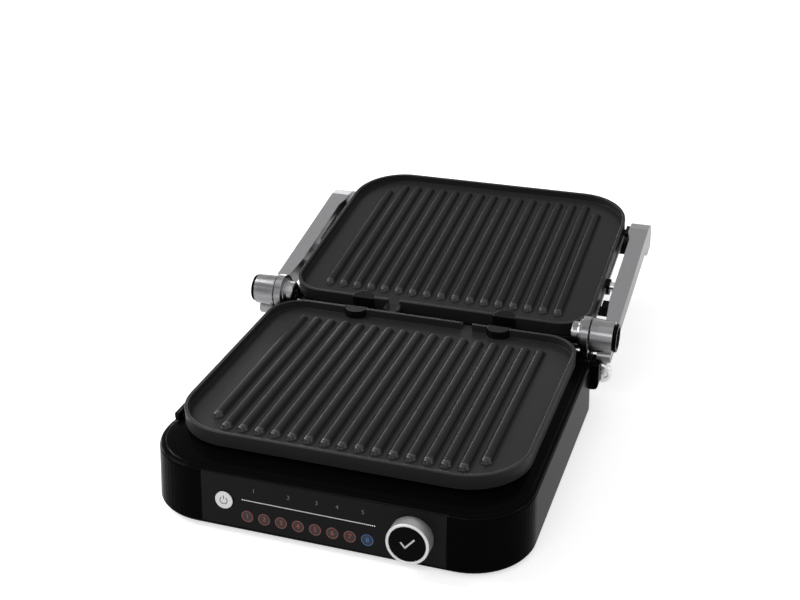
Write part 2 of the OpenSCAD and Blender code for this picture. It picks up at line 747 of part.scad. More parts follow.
// Bracket: a plate with a round head, a foot in the cover and a stepped inner collar
module hinge_bracket() {
    difference() {
        union() {
            translate([bracket_x, hinge_y, hinge_z]) rod_x(bracket_r, 0, bracket_t);
            translate([bracket_x, hinge_y - 11, cover_z0 + 8]) cube([bracket_t, 22, hinge_z - cover_z0 - 8]);
            translate([bracket_x - collar_len, hinge_y, hinge_z]) rotate([0, 90, 0])
                cylinder(r1 = collar_r - 0.8, r2 = collar_r, h = 0.8);
            translate([bracket_x - collar_len + 0.8, hinge_y, hinge_z]) rod_x(collar_r, 0, collar_len);
            translate([bracket_x - 2.4, hinge_y, hinge_z]) rod_x(collar_r + 3, 0, 3);
            translate([bracket_x - 4.4, hinge_y, hinge_z]) rotate([0, 90, 0])
                cylinder(r1 = collar_r, r2 = collar_r + 1.8, h = 2.1);
        }
        translate([bracket_x - collar_len - 1, hinge_y, hinge_z]) rod_x(pin_r, 0, collar_len + bracket_t + 2);
    }
}
module hinge_bracket_right() color("#a7a8aa") in_base() hinge_bracket();
module hinge_bracket_left() color("#a7a8aa") in_base() mirror([1, 0, 0]) hinge_bracket();

// Black plug with a cross slot in the inner end of each collar
module collar_plugs() color("#0e0e0f") in_base() both_sides()
    translate([bracket_x - collar_len, hinge_y, hinge_z]) difference() {
        union() {
            rod_x(plug_r, -0.8, 0);
            rod_x(pin_r - 0.02, -e, 1.8);
        }
        for (a = [0, 90]) rotate([a + 45, 0, 0]) translate([-1, -5, -1.1]) cube([1.2, 10, 2.2]);
    }

module hinge_pins() color("#7f8083") in_base() both_sides()
    translate([bracket_x - collar_len + 2, hinge_y, hinge_z])
        rod_x(pin_r, 0, barrel_x + barrel_len - 1 - bracket_x + collar_len - 2);

// Half-round tab on a pin, with its edges sloped on both faces
module release_lever() color("#d5d6d8") in_base() translate([cover_x1, hinge_y, lever_z]) {
    translate([-3.6, 0, 0]) rod_x(lever_pin_r, 0, 4.2);
    difference() {
        translate([0, lever_w / 2, 0]) rotate([90, 0, 0]) {
            cylinder(r1 = lever_r - 1.8, r2 = lever_r, h = 1.6);
            translate([0, 0, 1.6 - e]) cylinder(r = lever_r, h = lever_w - 3.2 + 2 * e);
            translate([0, 0, lever_w - 1.6]) cylinder(r1 = lever_r, r2 = lever_r - 1.8, h = 1.6);
        }
        translate([-20 + 0.4, -20, -20]) cube([20, 40, 40]);
        for (side = [-1, 1]) translate([3.4, side * (lever_w / 2 + 1.6), 0]) rotate([90, 0, 0])
            cylinder(r = 3.6, h = 5, center = true);
    }
}

module hinge_barrels() color("#b4b5b8") in_lid() both_sides() difference() {
    union() {
        translate([barrel_x, 0, 0]) rotate([0, 90, 0]) cylinder(r1 = barrel_r - 0.8, r2 = barrel_r, h = 0.8);
        translate([barrel_x + 0.8, 0, 0]) rotate([0, 90, 0])
            cylinder(r1 = barrel_r, r2 = barrel_r_out, h = barrel_len - 0.8);
    }
    translate([barrel_x - 1, 0, 0]) rod_x(pin_r + run_gap, 0, barrel_len + 2);
}

module barrel_caps() color("#101011") in_lid() both_sides() translate([barrel_x + barrel_len, 0, 0])
    rotate([0, 90, 0]) difference() {
        union() {
            cylinder(r = barrel_r_out - 2.6, h = 1.2);
            translate([0, 0, 1.2 - e])
                cylinder(r1 = barrel_r_out - 1.4, r2 = barrel_r_out - 2, h = cap_len - 1.2);
        }
        translate([0, 0, cap_len - 1.4]) cylinder(r = barrel_r_out - 4.6, h = 2);
    }

// ---- arms and handle ----

// Side view of an arm, from under the barrel to its deeper end
arm_near_top = -9.2;
arm_far_top = -1.8;
arm_near_low = -26.8;
arm_far_low = -24.6;
arm_end_low = -36;
arm_flare = 3.6;

module arm_profile() {
    polygon([[-6, -14], [-9, -17], [-9.5, -21], [-7, -25.2], [-2, arm_near_low], [60, arm_far_low - 0.6],
        [arm_len - 32, arm_far_low], [arm_len - 24, arm_end_low + 1.5], [arm_len - 20, arm_end_low],
        [arm_len - 5, arm_end_low], [arm_len - 1, arm_end_low + 3], [arm_len, arm_end_low + 8],
        [arm_len, -14], [arm_len - 3, -8.5], [arm_len - 11, -4.2], [arm_len - 24, arm_far_top],
        [70, -7.4], [18, arm_near_top], [0, -10]]);
}

module arm() {
    difference() {
        intersection() {
            translate([arm_x - arm_flare - 1, 0, 0]) rotate([90, 0, 90])
                linear_extrude(arm_w + arm_flare + 2) arm_profile();
            // Only the end is thick enough for the handle; towards the hinge the inner face draws back
            translate([0, 0, -60]) linear_extrude(120) polygon([[arm_x + 3.4, -30],
                [arm_x + arm_w, -30], [arm_x + arm_w, arm_len + 10], [arm_x - arm_flare, arm_len + 10],
                [arm_x - arm_flare, arm_len - 32], [arm_x, arm_len - 46], [arm_x, 74], [arm_x + 3.4, 36]]);
        }
        translate([barrel_x + 0.8, 0, 0]) rotate([0, 90, 0])
            cylinder(r1 = barrel_r, r2 = barrel_r_out, h = barrel_len - 0.8);
        translate([arm_x - 1, float_s, -float_drop]) rod_x(float_r, 0, 9);
        // Channel on the inner side
        translate([arm_x - 1, 124, -20]) rotate([1.2, 0, 0]) cube([4, arm_len - 180, 9]);
        for (s = [bar_s - 7, bar_s + 7]) translate([arm_x - arm_flare - 1, s, bar_end_z]) rod_x(2.1, 0, 30);
        for (s = [bar_s - 7, bar_s + 7]) translate([arm_x + arm_w - 2.4, s, bar_end_z]) rod_x(4, 0, 5);
    }
}
module arm_right() color("#a9aaac") in_lid() arm();
module arm_left() color("#a9aaac") in_lid() mirror([1, 0, 0]) arm();

bar_end_z = -30;
module arm_screws() color("#8f9093") in_lid() both_sides() for (s = [bar_s - 7, bar_s + 7])
    translate([arm_x + arm_w - 2.2, s, bar_end_z]) difference() {
        union() {
            rod_x(3.8, 0, 2);
            rod_x(2, -arm_w - arm_flare + 2.4, 0.5);
        }
        translate([1, 0, 0]) rod_x(1.8, 0, 3, $fn = 6);
    }

// Closed ring of a rounded section, turned to stand across the path
function bar_ring(x, z, lean, grow) = [for (a = [0:15:345])
    let (n = 3.2, ca = cos(a), sa = sin(a),
        u = sign(ca) * pow(abs(ca), 2 / n) * (bar_w / 2 + grow),
        v = sign(sa) * pow(abs(sa), 2 / n) * (bar_t / 2 + grow))
    [x + v * sin(lean), bar_s + u, z + v * cos(lean)]];

// Path of the bar from one arm to the other: level end, slope, straight grip
bar_end_x = arm_x - arm_flare;
bar_flat = arm_x - 27.6;
bend = 8;
function ramp(u) = u < -bend ? 0 : u > bend ? u : (u + bend) * (u + bend) / (4 * bend);
function bar_z(x) = let (a = abs(x))
    bar_end_z - (bar_depth + bar_end_z) / (bar_flat - bar_straight)
        * (ramp(bar_flat - a) - ramp(bar_straight - a));
function bar_lean(x) = atan((bar_z(x + 0.5) - bar_z(x - 0.5)) / 1);

module handle_bar() color("#161617") in_lid() {
    bends = [for (mid = [bar_flat, bar_straight], i = [0:5]) mid + bend - i * bend * 2 / 5];
    half = concat([bar_end_x], bends, [bar_straight / 2]);
    xs = concat(-half, [0], [for (i = [len(half) - 1:-1:0]) half[i]]);
    loft([for (x = xs) bar_ring(x, bar_z(x), -bar_lean(x), 0)]);
}

module float_pins() color("#c6c7c9") in_lid() both_sides() translate([0, float_s, -float_drop])
    rod_x(float_r, plate_half - seat_inset + 2.4, arm_x + 8);

module tilt_stops() color("#151516") in_lid() both_sides() {
    translate([plate_half + 2, stop_s, stop_low]) cube([arm_x - plate_half - 2, stop_len, stop_h]);
    translate([plate_half - 2, stop_s, stop_low]) cube([4 + e, stop_len, stop_h - 7.6]);
}
stop_s = 74;
stop_len = 12;
stop_low = -29.5;
stop_h = 11.5;

// ---- lid ----

module lid_plan(d) { translate([0, lid_mid]) rotate(180) plate_outline(d); }

module in_lid_plate() { in_lid() translate([0, lid_mid, 0]) rotate([0, 0, 180]) children(); }

module lid_frame() color("#161617") in_lid() difference() {
    union() {
        translate([0, lid_mid, 0]) rotate([0, 0, 180]) stepped_collar(-frame_drop, lid_seat_z);
        // Flange under the plate's skirt, with a dark wall on the hinge side
        slab(cover_rim, lid_skirt_z - 0.5 - cover_rim) difference() {
            lid_plan(flange_in);
            lid_plan(seat_inset + 1);
        }
        translate([-cheek_x + 0.2, lid_mid - plate_y1 - 0.6, heel_low + cover_t + 0.1])
            cube([2 * cheek_x - 0.4, 2.6, lid_skirt_z - 0.5 - heel_low - cover_t - 0.1]);
        // Bosses of the float pivot
        both_sides() translate([plate_half - seat_inset - e, float_s, 0]) intersection() {
            translate([0, 0, -float_drop]) rod_x(8.4, 0, 10.6);
            translate([-1, -20, -40]) cube([30, 40, 40 + lid_skirt_z - 0.5]);
        }
    }
    both_sides() translate([plate_half - seat_inset + 2, float_s, -float_drop])
        rod_x(float_r + run_gap, 0, 30);
    // Path of the release latch
    translate([plate_half - 18, lid_mid - latch_y - 5.3, lid_ridge_z + latch_low - rest_gap])
        cube([20, 10.6, latch_t + 2 * rest_gap]);
    translate([plate_half - 3, lid_mid - latch_y - 9, lid_ridge_z + latch_low - 1.2]) cube([20, 18, 10]);
}

// Brushed cover: a rim under the skirt, a sloped brim, a crown, and a deeper heel at the hinge
cover_out = 1;
heel_r = 14;
heel_low = -29;
heel_len = 30;
cheek_x = plate_half - 14.5;
brim_edge = cover_rim - 3.5;
brim_low = cover_rim - 9;
brim_w = 22;
crown_in = 32;

// Outline of the cover at a height, drawn in by d, from the far corners round to the hinge side
function arc(x, y, r, from) = [for (i = [0:8]) let (a = from + i * 11.25) [x + r * cos(a), y + r * sin(a)]];
function at_height(points, z) = [for (p = points) [p[0], p[1], z]];
function cover_near(d) = lid_mid - plate_y1 - cover_out + d;
function hinge_corners(d) = let (w = plate_half + cover_out - d, r = max(heel_r - d, 2))
    concat(arc(r - w, cover_near(d) + r, r, 180), arc(w - r, cover_near(d) + r, r, 270));
function cover_ring(d, z) = let (w = plate_half + cover_out - d, r = plate_corner_front + cover_out - d,
        far = lid_reach - cover_out - d)
    at_height(concat(arc(w - r, far - r, r, 0), arc(r - w, far - r, r, 90), hinge_corners(d)), z);
function heel_ring(d, z) = let (w = plate_half + cover_out - d, far = cover_near(0) + heel_len - d)
    at_height(concat([[w, far], [-w, far]], hinge_corners(d)), z);

// Shell of the cover drawn in by t: brim, crown and heel
module cover_shell(t) {
    top = cover_rim + (t > 0 ? 2 : 0);
    loft([cover_ring(brim_w + t, brim_low + t), cover_ring(t, brim_edge + t), cover_ring(t, top)]);
    loft([cover_ring(crown_in + 2.5 + t, -cover_drop + t), cover_ring(crown_in + t, -cover_drop + 1.5 + t),
        cover_ring(brim_w + t, brim_low + t + 1)]);
    loft([heel_ring(3 + t, heel_low + t), heel_ring(t, heel_low + 3 + t), heel_ring(t, top)]);
}

module lid_cover() color("#8f9194") in_lid() difference() {
    cover_shell(0);
    cover_shell(cover_t);
    slab(cover_rim - e, 10) square([400, 800], center = true);
    translate([-cheek_x, lid_mid - plate_y1 - 4, heel_low + cover_t]) cube([2 * cheek_x, 8, 30]);
    both_sides() translate([plate_half - seat_inset - 2, float_s, -float_drop]) rod_x(8.6, 0, 20);
    translate([134, lid_mid - latch_y - 5.3, lid_ridge_z + latch_low - rest_gap]) cube([30, 10.6, 10]);
    translate([plate_half - 3, lid_mid - latch_y - 9, lid_ridge_z + latch_low - 1.2]) cube([20, 18, 10]);
}

module upper_reflector() color("#a9abad") in_lid_plate() pan(lid_seat_z, upper_pan_depth);
module upper_heater() color("#6d6f72") in_lid_plate() {
    heating_rod(lid_seat_z, upper_pan_depth);
    rod_clips(lid_seat_z, upper_pan_depth);
}
module upper_sensor() color("#c4b48a") in_lid_plate() probe(lid_seat_z, upper_pan_depth);
module upper_plate_hooks() color("#19191a") in_lid_plate() translate([0, 0, lid_ridge_z])
    plate_hooks(-skirt_drop - 0.5, -skirt_drop - 0.5);

module upper_release_button() color("#121213") in_lid()
    translate([0, lid_mid - latch_y, lid_ridge_z + latch_low]) {
    frame_x = plate_half + 0.2;
    translate([frame_x, -8.5, -0.8]) cube([arm_x - arm_flare - 0.6 - frame_x, 17, latch_t + 3.2]);
    translate([latch_x + latch_travel + 0.1, -5, 0])
        cube([frame_x - latch_x - latch_travel + 1, 10, latch_t]);
}

// ---- output ----

base_housing();
bottom_cover();
rubber_feet();
control_panel();
programme_windows();
power_button();
selector_knob();
confirm_button();
knob_encoder();
control_board();
power_board();
cord_gland();
lower_reflector();
lower_heater();
lower_sensor();
lower_plate();
lower_plate_hooks();
lower_release_button();
drip_tray();
hinge_cover_right();
hinge_cover_left();
hinge_bracket_right();
hinge_bracket_left();
hinge_pins();
collar_plugs();
release_lever();
arm_right();
arm_left();
hinge_barrels();
barrel_caps();
handle_bar();
arm_screws();
float_pins();
tilt_stops();
lid_frame();
lid_cover();
upper_reflector();
upper_heater();
upper_sensor();
upper_plate();
upper_plate_hooks();
upper_release_button();
bottom_screws();
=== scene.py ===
import json
import math

import bmesh
import bpy
from mathutils import Matrix, Vector


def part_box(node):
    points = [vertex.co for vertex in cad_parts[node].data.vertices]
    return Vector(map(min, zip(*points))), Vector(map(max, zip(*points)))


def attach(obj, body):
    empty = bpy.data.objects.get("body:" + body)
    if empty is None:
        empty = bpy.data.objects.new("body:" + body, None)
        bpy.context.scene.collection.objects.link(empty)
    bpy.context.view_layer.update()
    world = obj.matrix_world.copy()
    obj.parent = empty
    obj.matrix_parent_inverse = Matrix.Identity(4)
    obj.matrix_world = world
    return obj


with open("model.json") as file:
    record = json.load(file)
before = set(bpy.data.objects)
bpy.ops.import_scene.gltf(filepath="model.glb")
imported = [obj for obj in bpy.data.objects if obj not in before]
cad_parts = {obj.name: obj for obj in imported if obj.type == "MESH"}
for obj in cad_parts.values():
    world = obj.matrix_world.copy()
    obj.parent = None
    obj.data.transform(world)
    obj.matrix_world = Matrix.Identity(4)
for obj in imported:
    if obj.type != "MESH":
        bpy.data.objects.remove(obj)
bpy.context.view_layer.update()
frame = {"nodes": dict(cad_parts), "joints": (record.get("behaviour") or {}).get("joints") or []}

# ---- Base housing ----
# One deep moulding in glossy black plastic that carries everything else.
# Its deck mirrors softly, and every edge has a small mould radius.


def node_group(name, inputs, outputs):
    """An empty effect with its named inputs and outputs."""
    group = bpy.data.node_groups.new(name, "ShaderNodeTree")
    for label, kind, value in inputs:
        socket = group.interface.new_socket(label, in_out="INPUT", socket_type=kind)
        socket.default_value = value
    for label, kind in outputs:
        group.interface.new_socket(label, in_out="OUTPUT", socket_type=kind)
    return group, group.nodes.new("NodeGroupInput"), group.nodes.new("NodeGroupOutput")


def moulded_skin():
    """Fine grain, uneven shine and soft edges, with a mask that is one along the edges."""
    group, given, made = node_group(
        "moulded_skin",
        [("Grain scale", "NodeSocketFloat", 900.0), ("Grain depth", "NodeSocketFloat", 0.05),
         ("Smooth", "NodeSocketFloat", 0.2), ("Rough", "NodeSocketFloat", 0.3),
         ("Edge", "NodeSocketFloat", 0.0006)],
        [("Roughness", "NodeSocketFloat"), ("Normal", "NodeSocketVector"),
         ("On edge", "NodeSocketFloat")])
    place = group.nodes.new("ShaderNodeTexCoord")
    grain = group.nodes.new("ShaderNodeTexNoise")
    grain.inputs["Detail"].default_value = 3.0
    wipe = group.nodes.new("ShaderNodeTexNoise")
    wipe.inputs["Scale"].default_value = 14.0
    wipe.inputs["Detail"].default_value = 4.0
    spread = group.nodes.new("ShaderNodeMapRange")
    edge = group.nodes.new("ShaderNodeBevel")
    edge.samples = 6
    dent = group.nodes.new("ShaderNodeBump")
    dent.inputs["Distance"].default_value = 0.0002
    group.links.new(place.outputs["Object"], grain.inputs["Vector"])
    group.links.new(place.outputs["Object"], wipe.inputs["Vector"])
    group.links.new(given.outputs["Grain scale"], grain.inputs["Scale"])
    group.links.new(wipe.outputs["Fac"], spread.inputs["Value"])
    group.links.new(given.outputs["Smooth"], spread.inputs["To Min"])
    group.links.new(given.outputs["Rough"], spread.inputs["To Max"])
    group.links.new(spread.outputs["Result"], made.inputs["Roughness"])
    group.links.new(given.outputs["Edge"], edge.inputs["Radius"])
    group.links.new(edge.outputs["Normal"], dent.inputs["Normal"])
    group.links.new(grain.outputs["Fac"], dent.inputs["Height"])
    group.links.new(given.outputs["Grain depth"], dent.inputs["Strength"])
    group.links.new(dent.outputs["Normal"], made.inputs["Normal"])
    # The softened normal leaves the flat one only along an edge.
    flat = group.nodes.new("ShaderNodeNewGeometry")
    alike = group.nodes.new("ShaderNodeVectorMath")
    alike.operation = "DOT_PRODUCT"
    on_edge = group.nodes.new("ShaderNodeMapRange")
    on_edge.inputs["From Min"].default_value = 0.99
    on_edge.inputs["From Max"].default_value = 0.85
    group.links.new(flat.outputs["Normal"], alike.inputs[0])
    group.links.new(edge.outputs["Normal"], alike.inputs[1])
    group.links.new(alike.outputs["Value"], on_edge.inputs["Value"])
    group.links.new(on_edge.outputs["Result"], made.inputs["On edge"])
    return group


def material_with(name, effect, values):
    """A new material that takes its roughness and normal from an effect set to these values."""
    material = bpy.data.materials.new(name)
    material.use_nodes = True
    tree = material.node_tree
    bsdf = tree.nodes["Principled BSDF"]
    placed = tree.nodes.new("ShaderNodeGroup")
    placed.node_tree = effect
    for label, value in values.items():
        placed.inputs[label].default_value = value
    tree.links.new(placed.outputs["Roughness"], bsdf.inputs["Roughness"])
    tree.links.new(placed.outputs["Normal"], bsdf.inputs["Normal"])
    return material, bsdf, placed


def shine_on(material, mask, plain, bright):
    """Makes a material more reflective where the mask is one."""
    tree = material.node_tree
    shine = tree.nodes.new("ShaderNodeMapRange")
    shine.inputs["To Min"].default_value = plain
    shine.inputs["To Max"].default_value = bright
    tree.links.new(mask, shine.inputs["Value"])
    tree.links.new(shine.outputs["Result"], tree.nodes["Principled BSDF"].inputs["Specular IOR Level"])


skin = moulded_skin()


def moulded(name, color, rough, grain_depth=0.05, grain_scale=900.0, edge_radius=0.0006,
            edge_shine=0.0, **shader):
    """Plastic or rubber: a plain colour with a grained skin and soft edges."""
    material, bsdf, placed = material_with(name, skin, {
        "Grain scale": grain_scale, "Grain depth": grain_depth, "Smooth": rough[0],
        "Rough": rough[1], "Edge": edge_radius})
    bsdf.inputs["Base Color"].default_value = (*color, 1.0)
    for label, value in shader.items():
        bsdf.inputs[label.replace("_", " ")].default_value = value
    if edge_shine:
        shine_on(material, placed.outputs["On edge"], shader["Specular_IOR_Level"], edge_shine)
    return material


def soften(name, degrees):
    """Shades a node as one smooth skin, except over edges sharper than the angle."""
    mesh = frame["nodes"][name].data
    mesh.shade_smooth()
    mesh.set_sharp_from_angle(angle=math.radians(degrees))
    weights = frame["nodes"][name].modifiers.new("weights", "WEIGHTED_NORMAL")
    weights.keep_sharp = True


def dress(material, *names):
    """Gives CAD nodes their material."""
    for name in names:
        mesh = frame["nodes"][name].data
        mesh.materials.clear()
        mesh.materials.append(material)


gloss_black = moulded("gloss_black", (0.0022, 0.0022, 0.0024), rough=(0.14, 0.2), grain_depth=0.02,
                      edge_radius=0.0015, edge_shine=0.12, Specular_IOR_Level=0.007)
dress(gloss_black, "base_housing")
soften("base_housing", 30)

# ---- Underside ----
# A slotted cover in satin black plastic closes the base, held by six steel screws.
# Four rubber feet are pressed through it, and a rubber gland sits in the rear wall.

satin_black = moulded("satin_black", (0.005, 0.005, 0.0055), rough=(0.36, 0.48), grain_depth=0.2,
                      edge_shine=0.3, Specular_IOR_Level=0.04)
dress(satin_black, "bottom_cover")
rubber = moulded("rubber_black", (0.012, 0.012, 0.012), rough=(0.75, 0.85), grain_depth=0.5,
                 grain_scale=600.0, Specular_IOR_Level=0.25)
dress(rubber, "rubber_feet", "cord_gland")


def brushed_lines():
    """Fine lines drawn out along one way, in colour, shine and relief, with soft edges."""
    group, given, made = node_group(
        "brushed_lines",
        [("Along", "NodeSocketVector", (1.0, 1.0, 1.0)), ("Depth", "NodeSocketFloat", 0.1),
         ("Smooth", "NodeSocketFloat", 0.25), ("Rough", "NodeSocketFloat", 0.4),
         ("Edge", "NodeSocketFloat", 0.0004), ("Light", "NodeSocketColor", (0.6, 0.6, 0.6, 1.0)),
         ("Dark", "NodeSocketColor", (0.5, 0.5, 0.5, 1.0))],
        [("Color", "NodeSocketColor"), ("Roughness", "NodeSocketFloat"),
         ("Normal", "NodeSocketVector")])
    place = group.nodes.new("ShaderNodeTexCoord")
    stretch = group.nodes.new("ShaderNodeVectorMath")
    stretch.operation = "MULTIPLY"
    lines = group.nodes.new("ShaderNodeTexNoise")
    lines.inputs["Scale"].default_value = 1.0
    lines.inputs["Detail"].default_value = 5.0
    spread = group.nodes.new("ShaderNodeMapRange")
    spread.inputs["From Min"].default_value = 0.3
    spread.inputs["From Max"].default_value = 0.7
    tone = group.nodes.new("ShaderNodeMix")
    tone.data_type = "RGBA"
    edge = group.nodes.new("ShaderNodeBevel")
    edge.samples = 6
    dent = group.nodes.new("ShaderNodeBump")
    dent.inputs["Distance"].default_value = 0.0001
    group.links.new(place.outputs["Object"], stretch.inputs[0])
    group.links.new(given.outputs["Along"], stretch.inputs[1])
    group.links.new(stretch.outputs[0], lines.inputs["Vector"])
    group.links.new(lines.outputs["Fac"], spread.inputs["Value"])
    group.links.new(given.outputs["Smooth"], spread.inputs["To Min"])
    group.links.new(given.outputs["Rough"], spread.inputs["To Max"])
    group.links.new(spread.outputs["Result"], made.inputs["Roughness"])
    group.links.new(lines.outputs["Fac"], tone.inputs["Factor"])
    group.links.new(given.outputs["Dark"], tone.inputs["A"])
    group.links.new(given.outputs["Light"], tone.inputs["B"])
    group.links.new(tone.outputs["Result"], made.inputs["Color"])
    group.links.new(given.outputs["Edge"], edge.inputs["Radius"])
    group.links.new(edge.outputs["Normal"], dent.inputs["Normal"])
    group.links.new(lines.outputs["Fac"], dent.inputs["Height"])
    group.links.new(given.outputs["Depth"], dent.inputs["Strength"])
    group.links.new(dent.outputs["Normal"], made.inputs["Normal"])
    return group


brushing = brushed_lines()


def metal(name, dark, light, rough, along, depth=0.1):
    """Worked metal: marks drawn out along the axis that has the smallest number."""
    material, bsdf, placed = material_with(name, brushing, {
        "Along": along, "Depth": depth, "Smooth": rough[0], "Rough": rough[1],
        "Dark": (*dark, 1.0), "Light": (*light, 1.0)})
    bsdf.inputs["Metallic"].default_value = 1.0
    material.node_tree.links.new(placed.outputs["Color"], bsdf.inputs["Base Color"])
    return material


steel = metal("steel", (0.42, 0.42, 0.43), (0.6, 0.6, 0.61), rough=(0.2, 0.34),
              along=(2600.0, 300.0, 300.0))
dress(steel, "bottom_screws")

# ---- Control panel ----
# A satin charcoal plate let into the sloped front, with openings for the windows, button and knob.
# All prints are drawn in its plane: x to the right, z up the slope, and y into the base.

charcoal = moulded("charcoal_panel", (0.009, 0.009, 0.0096), rough=(0.3, 0.4), grain_depth=0.1,
                   Specular_IOR_Level=0.05)
dress(charcoal, "control_panel")


def joint(name):
    """The frame's line on a joint, with its place and axis."""
    return next(line for line in frame["joints"] if line["name"] == name)


def turned_to(place, x_way, y_way, z_way):
    """Matrix that puts a piece at a place, with its axes turned to these directions."""
    turn = Matrix((x_way, y_way, z_way)).transposed()
    return Matrix.Translation(place) @ turn.to_4x4()


across = Vector((1.0, 0.0, 0.0))
knob_middle = Vector(joint("knob_turn")["pos_m"])
inward = Vector(joint("knob_turn")["axis"])
panel_up = across.cross(inward)
panel = turned_to((0.0, knob_middle.y, knob_middle.z), across, inward, panel_up)

# ---- Programme windows ----
# Eight round windows of dark, smooth plastic, pressed flush into the panel.
# A ring and a number show faintly in each as if lit from behind, seven red and the last one blue.

smoked = moulded("window_dark", (0.012, 0.008, 0.008), rough=(0.1, 0.16), grain_depth=0.0,
                 Specular_IOR_Level=0.4)
dress(smoked, "programme_windows")
window_count = 8
first_window = -0.065
window_pitch = 0.01504
window_x = [first_window + window_pitch * i for i in range(window_count)]
window_z = -0.012
red_windows = range(window_count - 1)
blue_windows = range(window_count - 1, window_count)
glow_radius = 0.0043
ring_inner = 0.0046
ring_outer = 0.0050
window_number = 0.0062
glow_rise = 0.00003
print_rise = 0.00005


def piece(name, draw, body, material, place):
    """Adds a mesh that draw(bm) makes about the origin, put in its place, riding on a body."""
    bm = bmesh.new()
    draw(bm)
    bmesh.ops.transform(bm, matrix=place, verts=bm.verts)
    mesh = bpy.data.meshes.new(name)
    bm.to_mesh(mesh)
    bm.free()
    mesh.materials.append(material)
    obj = bpy.data.objects.new(name, mesh)
    bpy.context.scene.collection.objects.link(obj)
    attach(obj, body)


def ring(bm, x, z, inner, outer, y=-print_rise, steps=48, start=0.0, sweep=math.tau):
    """Flat ring or arc in the panel's plane: a short line spun about its middle."""
    ends = [bm.verts.new((x + radius * math.cos(start), y, z + radius * math.sin(start)))
            for radius in (inner, outer)]
    line = bm.edges.new(ends)
    bmesh.ops.spin(bm, geom=[*ends, line], cent=(x, y, z), axis=(0.0, -1.0, 0.0), angle=sweep,
                   steps=steps, use_merge=sweep == math.tau)


# Turns a flat shape so that it faces out of the panel
upright = Matrix.Rotation(math.pi / 2, 4, "X")


def disc(bm, x, z, radius, y=-print_rise, steps=32):
    """Flat round spot in the panel's plane."""
    bmesh.ops.create_circle(bm, cap_ends=True, segments=steps, radius=radius,
                            matrix=Matrix.Translation((x, y, z)) @ upright)


def number(bm, text, x, z, size):
    """A plain numeral in the panel's plane."""
    curve = bpy.data.curves.new("numeral", "FONT")
    curve.body = text
    curve.size = size
    curve.align_x = "CENTER"
    curve.align_y = "CENTER"
    obj = bpy.data.objects.new("numeral", curve)
    mesh = bpy.data.meshes.new_from_object(obj)
    mesh.transform(Matrix.Translation((x, -print_rise, z)) @ upright)
    bm.from_mesh(mesh)
    bpy.data.objects.remove(obj)
    bpy.data.curves.remove(curve)
    bpy.data.meshes.remove(mesh)


def lit(name, color, glow):
    """A print in one colour, with a weak glow of its own where glow is above zero."""
    material = moulded(name, color, rough=(0.25, 0.35), grain_depth=0.0, Specular_IOR_Level=0.3)
    bsdf = material.node_tree.nodes["Principled BSDF"]
    bsdf.inputs["Emission Color"].default_value = (*color, 1.0)
    bsdf.inputs["Emission Strength"].default_value = glow
    return material


def glows(bm, windows):
    """The tinted spot in each of these windows."""
    for i in windows:
        disc(bm, window_x[i], window_z, glow_radius, y=-glow_rise)


def marks(bm, windows):
    """The ring and the number on each of these windows."""
    for i in windows:
        ring(bm, window_x[i], window_z, ring_inner, ring_outer)
        number(bm, str(i + 1), window_x[i], window_z, window_number)


piece("red_window_glow", lambda bm: glows(bm, red_windows), "base",
      lit("red_deep", (0.022, 0.012, 0.0115), 0.0), panel)
piece("blue_window_glow", lambda bm: glows(bm, blue_windows), "base",
      lit("blue_deep", (0.008, 0.016, 0.032), 0.0), panel)
piece("red_window_marks", lambda bm: marks(bm, red_windows), "base",
      lit("red_print", (0.26, 0.045, 0.034), 0.25), panel)
piece("blue_window_marks", lambda bm: marks(bm, blue_windows), "base",
      lit("blue_print", (0.02, 0.13, 0.34), 0.3), panel)

# ---- Lamp line and scale ----
# A row of tiny white lamp dots above the windows, which falls a little to the right.
# The five numbers of the scale above it are printed in grey.

lamp_count = 67
lamp_radius = 0.00042
first_lamp = -0.0691
lamp_run = 0.1154
lamp_z = 0.0030
lamp_fall = 0.0007
scale_x = (-0.0589, -0.0281, -0.0035, 0.0143, 0.0363)
scale_z = 0.0128
scale_number = 0.0052


def lamp_dots(bm):
    """Small round spots side by side along the line."""
    for i in range(lamp_count):
        t = i / (lamp_count - 1)
        disc(bm, first_lamp + t * lamp_run, lamp_z - t * lamp_fall, lamp_radius, steps=8)


def scale_numbers(bm):
    """The numbers from one to five over the line."""
    for text, x in zip("12345", scale_x):
        number(bm, text, x, scale_z, scale_number)


piece("lamp_line", lamp_dots, "base",
      lit("white_print", (0.85, 0.85, 0.85), 0.9), panel)
piece("scale_numbers", scale_numbers, "base",
      lit("grey_print", (0.16, 0.16, 0.165), 0.0), panel)

# ---- Power button ----
# A round cap of satin metal that stands a little out of the panel and springs back when pressed.
# The usual standby mark is printed on it in black: an open ring with a bar in its gap.

satin_cap = metal("satin_cap", (0.40, 0.40, 0.41), (0.52, 0.52, 0.53), rough=(0.25, 0.35),
                  along=(1800.0, 300.0, 300.0), depth=0.05)
dress(satin_cap, "power_button")
cap_low, cap_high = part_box("power_button")
cap_x = (cap_low[0] + cap_high[0]) / 2
cap_rise = 0.0016
standby_inner = 0.0029
standby_outer = 0.0036
standby_start = math.radians(125)
standby_sweep = math.radians(290)
bar_half = 0.00035
bar_foot = 0.0012
bar_top = 0.0045


def standby(bm):
    """The open ring and the bar in its gap."""
    y = -cap_rise - print_rise
    ring(bm, cap_x, 0.0, standby_inner, standby_outer, y, steps=40, start=standby_start,
         sweep=standby_sweep)
    corners = ((-bar_half, bar_foot), (bar_half, bar_foot), (bar_half, bar_top), (-bar_half, bar_top))
    bm.faces.new([bm.verts.new((cap_x + x, y, z)) for x, z in corners])


piece("standby_mark", standby, "power_button",
      moulded("black_print", (0.01, 0.01, 0.01), rough=(0.3, 0.4), grain_depth=0.0), panel)

